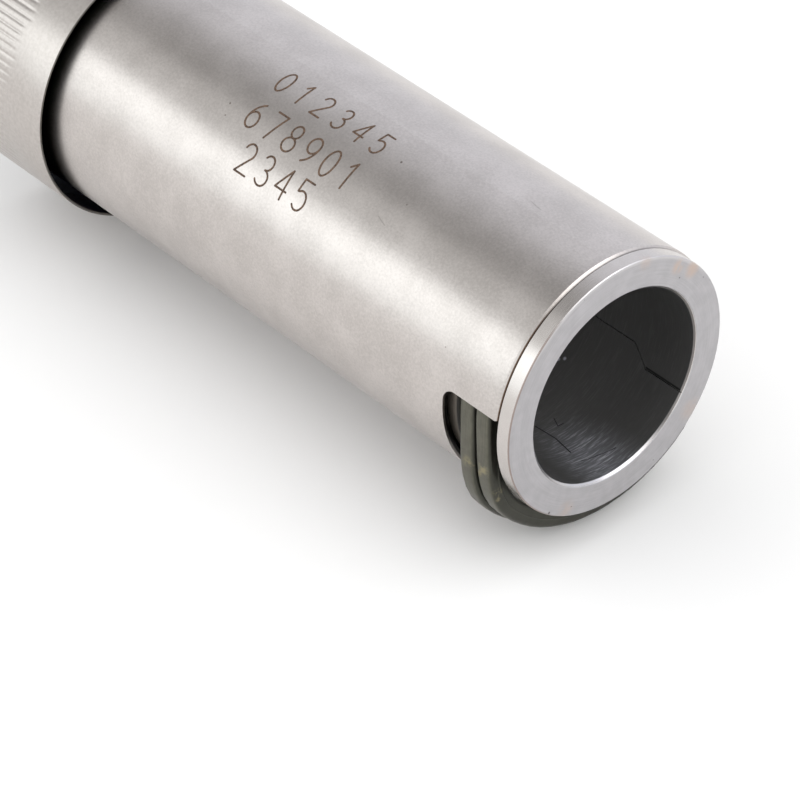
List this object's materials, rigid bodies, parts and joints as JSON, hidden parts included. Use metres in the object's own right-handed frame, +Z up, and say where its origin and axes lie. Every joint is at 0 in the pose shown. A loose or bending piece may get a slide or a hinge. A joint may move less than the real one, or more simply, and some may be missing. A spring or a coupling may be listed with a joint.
{
  "type": "hot runner coil heater",
  "caption": "Tubular coil heater for a hot runner nozzle: flanged bore, flattened coil under a steel sleeve with a window, loose end turns and a knurled rear collar.",
  "frame": {"origin": "centre of the bore's mouth, on the front flange's face", "axes": "+X along the bore, out of its mouth; +Z up as the heater lies on its side; the picture's left side is -Y"},
  "size_m": [0.076, 0.0284, 0.0309],
  "materials": {
    "liner_steel": "dark satin",
    "turned_steel": "fine turned",
    "element_sheath": "oxidised satin",
    "seal_ceramic": "matt ceramic",
    "pin_nickel": "satin",
    "satin_steel": "bead-blasted satin"
  },
  "bodies": {
    "root": {"inner_liner": "liner_steel", "core_tube": "turned_steel", "heating_coil": "element_sheath", "end_seal": "seal_ceramic", "terminal_pin_a": "pin_nickel", "terminal_pin_b": "pin_nickel", "outer_sleeve": "satin_steel", "rear_ring": "turned_steel", "knurled_collar": "satin_steel"}
  },
  "joints": []
}
